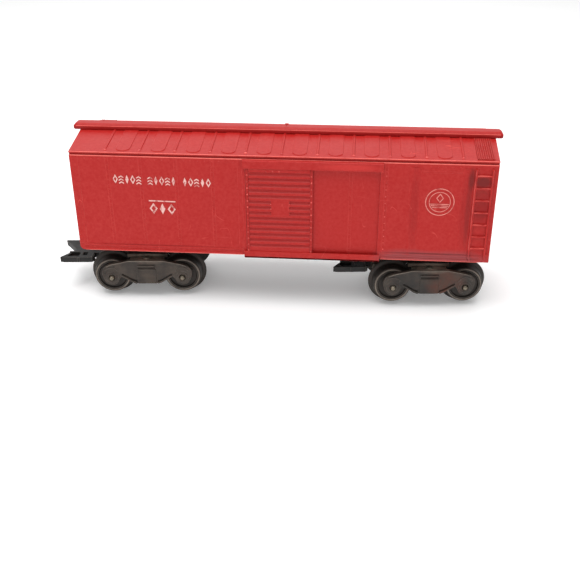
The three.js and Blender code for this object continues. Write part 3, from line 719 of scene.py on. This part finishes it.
def make_shell():
    details = Draft()
    for add in (add_tracks, add_ladder, add_side_panels, add_sill, add_roof, add_walkway,
                add_end):
        add(details)
    details.repeat_turned_round()
    piece("body_shell_fine", shell_walls().absorb(details.bm), BODY, "body_red", "car_body",
          "body_red", "body_shell")


# ------------------------------------------------------------------ running board
def rounded_plan(half_length, half_width, radius):
    """A rectangle in plan with rounded corners, as one closed ring."""
    plan = []
    for x, y, start in ((1, 1, 0), (-1, 1, 90), (-1, -1, 180), (1, -1, 270)):
        middle = (x * (half_length - radius), y * (half_width - radius))
        plan += arc(middle, radius, start, start + 90, 6)
    return plan


def make_board():
    """A plank along the ridge: upright sides, rounded shoulders and corners, a joint."""
    end, side = HALF_LENGTH + 4.0, 3.7
    low, high = RIDGE + 0.1, RIDGE + 2.95
    levels = ((low, 0.15), (low + 0.2, 0.0), (low + 1.45, 0.0), (low + 1.75, 0.12),
              (high - 0.35, 0.75), (high - 0.08, 1.15), (high, 1.6))
    plank = Draft()
    plank.hull([[(x, y, z) for x, y in rounded_plan(end - inset, side - inset, 1.3)]
                for z, inset in levels])
    board = carve(plank, [Draft().box((0.6, 0.9), (-4, 4), (high - 0.3, high + 1))])
    board.box((-0.2, 1.6), (1.6, 3.3), (high - 1.2, high + 0.3), 0.2)
    piece("running_board_fine", board, BODY, "board_red", "car_body", "board_red",
          "running_board")


# ------------------------------------------------------------------ painted highlights
def make_highlight_edges():
    """Pale strips that paint highlights where rounded edges catch the light, with some rubbed
    wear: ledges, roof edges, the sill's bottom, the board's shoulder.
    """
    highlight_strips = Draft()
    highlight_strips.box((-HALF_LENGTH + 0.3, HALF_LENGTH - 0.3), (SIDE - 0.05, SIDE + 0.4),
             (GROOVE[0] - 0.5, GROOVE[0] + 0.06), 0.22, 3)
    highlight_strips.box((-HALF_LENGTH + 0.1, HALF_LENGTH - 0.1), (-ROOF_EDGE - 0.01, -ROOF_EDGE + 0.4),
             (EAVE - 0.24, EAVE + 0.09), 0.14)
    for x in ((-HALF_LENGTH + 2.6, TRACK[0] - 0.2), (TRACK[1] + 0.2, 93.6)):
        highlight_strips.box(x, (SIDE - 0.40, ROOT), (0.05, 0.38), 0.15)
    shoulder = RIDGE + 1.75
    highlight_strips.box((-HALF_LENGTH - 2.6, HALF_LENGTH + 2.6), (-3.68, -3.3),
             (shoulder - 0.1, shoulder + 0.16), 0.1)
    highlight_strips.repeat_turned_round()
    piece("highlight_edges", highlight_strips, BODY, "highlight_red", "car_body", "body_red")


def make_highlight_dots():
    """Painted highlights on rib feet, rivet tops and the lit tops of ladder bars, a little paler
    than the shell, with some rubbed wear on the rivets.
    """
    dots = Draft()
    slope = math.atan2(RIDGE - EAVE, ROOF_EDGE - SEAT)
    up = (0, -math.sin(slope), math.cos(slope))
    foot = ROOF_EDGE - 2.5
    for x in RIBS:
        dots.dome((x, -foot, roof_height(foot)), 0.72, 0.32, up, 14)
    for step in range(12):
        dots.dome((TRACK[1] + 1.45, SIDE - 0.05, 5.2 + step * 3.3), 0.32, 0.18, OUT, 8)
    for z in RUNGS:
        dots.box((88.2, 95.3), (SIDE - 0.93, ROOT), (z + 0.12, z + 0.42), 0.12)
    dots.box((87.66, 87.95), (SIDE - 1.12, ROOT), (6.0, 45.8), 0.12)
    dots.box((95.4, 95.65), (SIDE - 1.12, ROOT), (38.0, 45.8), 0.12)
    dots.repeat_turned_round()
    piece("highlight_dots", dots, BODY, "rivet_highlight_red", "car_body", "body_red")


# ------------------------------------------------------------------ doors
GROOVE_TOP = 41.10              # middle of the highest groove across a door
GROOVE_PITCH = 2.74
TACK_BOARD = ((-4.4, 4.2), (20.8, 28.2))


def make_door(side, turn):
    """A grooved sliding door with a plain tack board and riveted edges."""
    door = Draft()
    face = -DOOR_FACE
    raised = face - 0.52
    left, right = DOOR[0] - 0.2, DOOR[1]
    edges = (left + 0.75, right - 0.65)
    door.box((left, right), (face, face + 0.8), (0.2, 46.3), 0.12)
    field = [(face + 0.3, 43.5), (-26.3, 43.5), (-26.3, 43.35), (raised, 43.1)]
    z = GROOVE_TOP
    while z > 3.5:
        field += [(raised, z + 0.85), (raised + 0.12, z + 0.72), (face - 0.02, z + 0.55),
                  (face - 0.02, z - 0.45), (raised + 0.2, z - 0.75), (raised, z - 0.95)]
        z -= GROOVE_PITCH
    field += [(raised, 1.0), (face + 0.3, 0.9)]
    door.along("X", field, (left + 1.5, right - 1.3), 0.06)
    door.box(TACK_BOARD[0], (raised - 0.03, face + 0.3), TACK_BOARD[1], 0.12)
    for x in edges:
        door.box((x - 0.65, x + 0.65), (face - 0.3, face + 0.3), (1.0, 43.2), 0.15)
    space = BODY @ turn
    body = f"door_{side}"
    piece(f"door_{side}_fine", door, space, "door_red", body, "door_red", f"door_{side}")
    # The door's rivet heads get the paler red: painted highlights on them, with some wear.
    dots = Draft()
    for x in edges:
        for step in range(13):
            dots.dome((x, face - 0.28, 2.6 + step * 3.15), 0.42, 0.3, OUT, 10)
    for x in (-6.5, -3.45, -0.45):
        dots.dome((x, raised + 0.02, 42.5), 0.38, 0.24, OUT, 10)
    for x in TACK_BOARD[0]:
        for height in (21.7, 24.1, 26.5):
            dots.dome((x, raised - 0.01, height), 0.30, 0.2, OUT, 8)
    piece(f"door_{side}_rivets", dots, space, "rivet_highlight_red", body, "door_red")


# ------------------------------------------------------------------ painted marks
def add_patch(draft, points):
    """A flat painted shape on the near side, as thin as a stamp."""
    draft.along("Y", points, (SIDE - 0.16, SIDE + 0.05))


def lozenge(x, z, width, height):
    return [(x, z - height / 2), (x + width / 2, z), (x, z + height / 2), (x - width / 2, z)]


def open_lozenge(draft, x, z, width, height, line):
    """The outline of a lozenge, as four bands."""
    outer = lozenge(x, z, width, height)
    inner = lozenge(x, z, width - 2.2 * line, height - 2.2 * line * height / width)
    for i in range(4):
        j = (i + 1) % 4
        add_patch(draft, [outer[i], outer[j], inner[j], inner[i]])


def chevrons(draft, x, z, width, height):
    """Three bent bars, one above the other."""
    rise = height * 0.28
    for low in (z - height / 2, z - height / 6, z + height / 6):
        add_patch(draft, [(x - width / 2, low), (x, low + rise * 0.6), (x + width / 2, low),
                          (x + width / 2, low + rise * 0.5), (x, low + rise * 1.1),
                          (x - width / 2, low + rise * 0.5)])


def solid_lozenge(draft, x, z, width, height):
    add_patch(draft, lozenge(x, z, width, height))


def painted_ring(draft, x, z, radius, line):
    """A circular line, as many short bands."""
    steps = 48
    outer = arc((x, z), radius, 0, 360, steps)
    inner = arc((x, z), radius - line, 0, 360, steps)
    for i in range(steps):
        add_patch(draft, [outer[i], outer[i + 1], inner[i + 1], inner[i]])


def make_marks(side, turn):
    """Plain geometric marks: a row of ornaments, a lined trio and two rings."""
    marks = Draft()
    x = -77.0
    for group in range(3):
        for i in range(5):
            z = 36.7 - 0.018 * (x + 77)
            if (i + group) % 3 == 0:
                open_lozenge(marks, x, z, 2.4, 4.4, 0.5)
            elif (i + group) % 3 == 1:
                chevrons(marks, x, z - 0.2, 2.3, 4.2)
            else:
                solid_lozenge(marks, x, z, 1.6, 4.3)
            x += 2.75
        x += 2.6
    add_patch(marks, [(-62.0, 26.1), (-49.4, 25.9), (-49.4, 26.4), (-62.0, 26.6)])
    open_lozenge(marks, -60.0, 22.5, 3.8, 5.4, 0.75)
    solid_lozenge(marks, -55.7, 22.4, 2.6, 5.4)
    open_lozenge(marks, -51.4, 22.3, 3.8, 5.4, 0.75)
    piece(f"side_marks_{side}", marks, BODY @ turn, "stamp", "car_body", "body_red")
    rings = Draft()
    x, z = 72.9, 29.7
    painted_ring(rings, x, z, 6.6, 0.36)
    painted_ring(rings, x, z, 4.9, 0.28)
    open_lozenge(rings, x, z + 1.9, 3.4, 4.6, 0.42)
    for low, half in ((-1.2, 4.2), (-2.0, 3.9), (-2.8, 3.4)):
        add_patch(rings, [(x - half, z + low), (x + half, z + low),
                          (x + half, z + low + 0.36), (x - half, z + low + 0.36)])
    piece(f"side_rings_{side}", rings, BODY @ turn, "faded_stamp", "car_body", "body_red")


# ------------------------------------------------------------------ plates and fasteners
def dress_node(name, material, width):
    """A CAD plate that keeps its mesh: modifiers round its edges, and it gets its paint."""
    plate = frame["nodes"][name]
    plate.data.materials.clear()
    plate.data.materials.append(MATERIALS[material])
    flat = plate.modifiers.new("flatten", "DECIMATE")
    flat.decimate_type = "DISSOLVE"
    flat.angle_limit = math.radians(1)
    bevel = plate.modifiers.new("soften", "BEVEL")
    bevel.width = width * MM
    bevel.segments = 2
    bevel.limit_method = "ANGLE"
    bevel.angle_limit = math.radians(35)


def make_screw(side, x):
    """A slotted pan-head screw that holds the floor plate up."""
    seat = 0.9
    head = Draft().turned([(0, seat - 1.55), (0.9, seat - 1.5), (1.7, seat - 1.25),
                           (2.15, seat - 0.8), (2.3, seat - 0.3), (2.3, seat), (1.0, seat),
                           (1.0, 8.0), (0, 8.8)], 32)
    screw = carve(head, [Draft().box((-3, 3), (-0.3, 0.3), (seat - 2.5, seat - 1.0))])
    round_edges(screw.bm, 0.05, 1, 0.7)
    piece(f"floor_screw_{side}_fine", screw, BODY @ Matrix.Translation((x, 0, 0)),
          "fastener_steel", "car_body", "fastener_steel", f"floor_screw_{side}")


def make_king_rivet(side):
    under = 18.5
    top = SILL + 2.6
    rivet = Draft().turned([(0, under - 1.6), (1.2, under - 1.52), (2.3, under - 1.15),
                            (3.0, under - 0.6), (3.2, under - 0.15), (3.1, under),
                            (1.7, under), (1.7, top), (2.7, top), (2.8, top + 0.3),
                            (2.4, top + 0.9), (1.5, top + 1.3), (0, top + 1.4)], 40)
    piece(f"king_rivet_{side}_fine", rivet, TRUCKS[side], "fastener_steel", "car_body",
          "fastener_steel", f"king_rivet_{side}")


# ------------------------------------------------------------------ trucks
# (x, z) lines of a side frame, from the middle down and round, or from outside to the middle
FRAME_HALF = [(5.4, 7.9), (7.2, 8.9), (9.2, 10.3), (11.2, 11.5), (12.6, 11.5), (13.7, 10.4),
              (14.4, 8.9), (15.5, 7.6), (17.5, 7.1), (19.5, 7.6), (20.9, 9.2), (21.8, 11.4),
              (22.2, 13.6), (21.7, 15.6), (20.3, 17.2), (18.3, 18.2), (15.4, 19.0),
              (12.0, 19.7), (8.6, 20.5)]
TOP_LIP = [(19.7, 17.6), (17.9, 18.35), (15.4, 19.0), (12.0, 19.7), (8.6, 20.5)]
LOWER_CHORD = [(12.4, 12.6), (11.2, 12.0), (9.3, 10.9), (7.3, 9.6), (5.2, 8.8)]


def flowing(points, steps=4):
    """The same line with rounded turns: a spline through its points."""
    line = []
    last = len(points) - 1
    for i in range(last):
        before, a, b, after = (Vector(points[min(max(k, 0), last)])
                               for k in (i - 1, i, i + 1, i + 2))
        for step in range(steps):
            t = step / steps
            line.append(tuple(0.5 * (2 * a + (b - before) * t
                                     + (2 * before - 5 * a + 4 * b - after) * t ** 2
                                     + (3 * a - before - 3 * b + after) * t ** 3)))
    return line + [tuple(points[-1])]


def ribbon(line, width):
    """A band of the given width under a line of points."""
    return line + [(x, z - width) for x, z in reversed(line)]


def make_side_frame(side, place, turn):
    """A moulded truck side: arched top lip, lower chords, spring panel and journal boxes."""
    inner, outer, proud = 21.2, 22.8, 23.6
    back = -outer + 0.3
    groove = (-outer - 1, -outer + 0.7)
    plate = Draft().along("Y", mirrored(flowing(FRAME_HALF)), (-outer, -inner))
    cutters = []
    for sign in (-1, 1):
        journal = Matrix.Translation((sign * HALF_BASE, 0, AXLE_Z)) @ Z_TO_FAR
        chord = [(sign * x, z + 0.75) for x, z in LOWER_CHORD]
        cutters += [Draft().turned([(0, -30), (1.5, -30), (1.5, -15), (0, -15)], 32, journal),
                    Draft().along("Y", ribbon(chord, 0.75), groove)]
    cutters.append(Draft().box((-4.2, 4.2), groove, (16.1, 17.05)))
    part = carve(plate, cutters)
    round_edges(part.bm, 0.25)
    lip = mirrored(flowing(TOP_LIP))
    part.rail(lip, (-proud, back), 0.85, 0.25)
    for sign in (-1, 1):
        lower = [(sign * x, z) for x, z in flowing(LOWER_CHORD, 3)]
        part.rail(lower, (-proud + 0.15, back), 0.95, 0.28)
        journal = Matrix.Translation((sign * HALF_BASE, 0, AXLE_Z)) @ Z_TO_NEAR
        part.turned([(1.5, outer - 0.3), (3.3, outer - 0.3), (3.0, outer + 0.1),
                     (2.4, outer + 0.3), (1.75, outer + 0.3), (1.5, outer + 0.05)],
                    40, journal, closed=True)
        box_top = arc((sign * HALF_BASE, 13.4), 3.6, 15, 165, 12)
        box_top += arc((sign * HALF_BASE, 13.4), 3.1, 165, 15, 12)
        part.along("Y", box_top, (-outer - 0.28, back), 0.12, 1)
    part.box((-4.7, 4.7), (-outer - 0.4, back), (7.9, 15.7), 0.35, 3)
    part.box((-4.3, 4.3), (-proud + 0.05, back), (17.0, 17.9), 0.3)
    part.box((-8.3, 8.3), (-inner - 0.2, -17.6), (17.3, 18.5), 0.2)
    space = TRUCKS[side] @ turn
    piece(f"side_frame_{side}_{place}_fine", part, space, "truck_frame", f"truck_{side}",
          "truck_frame", f"side_frame_{side}_{place}")
    rubbed = Draft().rail([(x, z + 0.02) for x, z in lip], (-proud - 0.03, -proud + 0.35),
                          0.28, 0.1, 1)
    piece(f"side_frame_{side}_{place}_rub", rubbed, space, "rim_metal", f"truck_{side}",
          "truck_frame")


def make_frame_rivet(side, place, y):
    bottom, top = 17.2, 20.1
    rivet = Draft().turned([(0, bottom - 0.7), (0.9, bottom - 0.6), (1.3, bottom),
                            (0.8, bottom), (0.8, top), (1.75, top), (1.7, top + 0.35),
                            (1.3, top + 0.8), (0.7, top + 1.02), (0, top + 1.1)], 28)
    space = TRUCKS[side] @ Matrix.Translation((0, y, 0))
    piece(f"frame_rivet_{side}_{place}_fine", rivet, space, "axle_steel", f"truck_{side}",
          "fastener_steel", f"frame_rivet_{side}_{place}")


def make_bolster(side):
    """The CAD bolster with its paint, and dark webs and a plate under it, put in where the view
    between the wheels shows only shade.
    """
    dress_node(f"bolster_{side}", "truck_frame", 0.2)
    shade_webs = Draft()
    width = (-12.9, 12.9)
    for sign in (-1, 1):
        shade_webs.box(sorted((sign * 5.4, sign * 7.7)), width, (14.4, 21.0), 0.2)
        shade_webs.box(sorted((sign * 4.4, sign * 12.8)), width, (19.4, 21.9), 0.2)
    piece(f"bolster_{side}_webs", shade_webs, TRUCKS[side], "truck_frame", f"truck_{side}",
          "black_paint")


def both_ends(half):
    """A turned profile, from its half beyond the middle."""
    return [(radius, -reach) for radius, reach in reversed(half)] + half


def make_wheelset(side, end, x):
    """Two flanged wheels on an axle whose round tips show in the journals."""
    space = TRUCKS[side] @ Matrix.Translation((x, 0, AXLE_Z))
    body = f"wheelset_{side}_{end}"
    profile = [(1.5, 13.2), (6.0, 13.2), (9.6, 13.2), (10.5, 13.3), (11.0, 13.55),
               (FLANGE, 13.9), (11.05, 14.2), (10.6, 14.5), (9.9, 14.8), (9.45, 15.1),
               (9.3, 15.6), (9.0, 19.2), (8.9, 19.65), (8.65, 19.92), (8.3, 20.0),
               (7.1, 20.0), (6.95, 19.8), (6.85, 19.3), (6.7, 19.05), (6.3, 18.98),
               (3.4, 18.9), (3.0, 19.0), (2.8, 19.5), (2.6, 19.75), (2.2, 19.8), (1.5, 19.8)]
    rim = [(7.75, 19.9), (8.5, 19.9), (8.45, 20.05), (8.3, 20.12), (7.9, 20.12), (7.8, 20.05)]
    for place, turn in (("near", Z_TO_NEAR), ("far", Z_TO_FAR)):
        wheel = Draft().turned(profile, 96, turn, closed=True)
        piece(f"wheel_{side}_{end}_{place}_fine", wheel, space, "wheel_metal", body,
              "wheel_metal", f"wheel_{side}_{end}_{place}", smooth=50)
        worn = Draft().turned(rim, 96, turn, closed=True)
        piece(f"rim_{side}_{end}_{place}", worn, space, "rim_metal", body, "wheel_metal",
              smooth=50)
    half = [(1.2, 23.0), (1.16, 23.5), (1.0, 23.95), (0.7, 24.25), (0.35, 24.38), (0, 24.4)]
    piece(f"axle_{side}_{end}_fine", Draft().turned(both_ends(half), 40, Z_TO_NEAR), space,
          "axle_steel", body, "axle_steel", f"axle_{side}_{end}")


def make_coupler(side):
    """A flat tilting coupler: open jaws, a hollow near jaw, a slot and a cross bore."""
    low, high = 13.7, 16.5
    plan = [(-22.3, -4.8), (-22.3, 4.8), (-30.0, 4.8), (-30.6, 8.6), (-33.5, 10.9),
            (-46.6, 11.0), (-47.0, 10.7), (-43.0, 4.9), (-39.5, -0.2), (-39.4, -1.1),
            (-42.6, -5.6), (-45.7, -9.9), (-43.6, -10.5), (-29.9, -10.4), (-28.6, -9.2),
            (-28.6, -7.0), (-30.0, -4.8)]
    slot = Draft().box((-34.8, -32.5), (-7.6, -3.9), (0, 30))
    pocket = Draft().along("Z", [(-42.6, -8.6), (-36.4, -8.6), (-36.4, -4.6), (-40.4, -4.6)],
                           (high - 1.5, 30))
    bore = Draft().turned([(0, -10), (0.95, -10), (0.95, 10), (0, 10)], 28,
                          COUPLER_PIN @ Z_TO_NEAR)
    part = carve(Draft().along("Z", plan, (low, high)), [slot, pocket, bore])
    round_edges(part.bm, 0.2)
    part.box((-42.0, -36.8), (-4.9, -3.6), (high - 0.4, high + 0.5), 0.25)
    part.box((-29.8, -29.0), (-10.6, -4.6), (low + 0.3, high + 0.3), 0.25)
    part.box((-37.0, -35.9), (-10.75, -9.9), (low + 0.1, high - 0.2), 0.2)
    part.box((-31.5, -23.4), (-1.6, 1.6), (high - 0.3, high + 0.25), 0.2)
    piece(f"coupler_{side}_fine", part, TRUCKS[side], "coupler_black", f"coupler_{side}",
          "coupler_black", f"coupler_{side}")


def make_coupler_pin(side):
    end = 6.5
    half = [(0.9, end), (1.65, end), (1.7, end + 0.25), (1.5, end + 0.65), (0.9, end + 0.85),
            (0, end + 0.9)]
    pin = Draft().turned(both_ends(half), 28, Z_TO_NEAR)
    piece(f"coupler_pin_{side}_fine", pin, TRUCKS[side] @ COUPLER_PIN, "fastener_steel",
          f"truck_{side}", "fastener_steel", f"coupler_pin_{side}")


# ------------------------------------------------------------------ the whole car
make_shell()
make_board()
make_highlight_edges()
make_highlight_dots()
dress_node("floor_plate", "black_paint", 0.15)
for side, turn in NEAR_AND_FAR:
    make_door(side, turn)
    make_marks(side, turn)
for side, x in (("left", -91.0), ("right", 91.0)):
    make_screw(side, x)
for side in TRUCKS:
    make_king_rivet(side)
    make_bolster(side)
    make_coupler(side)
    make_coupler_pin(side)
    for place, turn in NEAR_AND_FAR:
        make_side_frame(side, place, turn)
        make_frame_rivet(side, place, -19.3 if place == "near" else 19.3)
    for end, x in (("outer", -HALF_BASE), ("inner", HALF_BASE)):
        make_wheelset(side, end, x)


# ------------------------------------------------------------------ studio
def make_ground():
    bpy.ops.mesh.primitive_plane_add(size=6.0, location=(0, 0, 0))
    ground = bpy.context.object
    ground.name = "studio_floor"
    n = Nodes("studio_floor")
    tint = n.mix(n.noise(3, 2), linear(246, 246, 246), linear(249, 249, 249))
    n.shader.inputs["Emission Color"].default_value = (1, 1, 1, 1)
    n.shader.inputs["Emission Strength"].default_value = 0.16
    ground.data.materials.append(n.finish(tint, n.ramp(n.noise(5, 2), 0, 1, 0.85, 0.95)))


def add_light(name, place, size, power):
    """A soft rectangular light that looks at the middle of the car."""
    light = bpy.data.lights.new(name, "AREA")
    light.shape = "RECTANGLE"
    light.size, light.size_y = size
    light.energy = power
    obj = add_object(name, light)
    obj.location = place
    aim = Vector((0, 0, 0.04)) - Vector(place)
    obj.rotation_euler = aim.to_track_quat("-Z", "Y").to_euler()


def make_studio():
    make_ground()
    # place and size in metres, power in watts
    add_light("overhead", (-0.08, -0.16, 0.85), (0.8, 0.8), 6.7)
    add_light("back", (-0.1, 0.85, 0.75), (1.2, 0.6), 2.5)
    add_light("front", (-0.2, -0.95, 0.35), (0.6, 0.5), 0.7)
    world = bpy.data.worlds.new("studio")
    world.use_nodes = True
    back = world.node_tree.nodes["Background"]
    back.inputs["Color"].default_value = (1, 1, 1, 1)
    back.inputs["Strength"].default_value = 0.55
    bpy.context.scene.world = world
    bpy.context.scene.view_settings.view_transform = "Standard"


def make_camera():
    """The camera stands in front of the near side, raised, looking down at 27.75 degrees."""
    camera = bpy.data.cameras.new("camera")
    camera.sensor_width = 36.0
    camera.lens = 51.34
    camera.clip_start = 0.01
    obj = add_object("camera", camera)
    obj.location = ((BODY_X + 34.63) * MM, -381.6 * MM, (SILL + 169.8) * MM)
    pitch, turn, roll = math.radians(27.75), math.radians(4.857), math.radians(-0.16)
    look = Matrix.Rotation(turn, 4, "Z") @ Matrix.Rotation(math.pi / 2 - pitch, 4, "X")
    obj.rotation_euler = (look @ Matrix.Rotation(roll, 4, "Z")).to_euler()
    bpy.context.scene.camera = obj


make_studio()
make_camera()
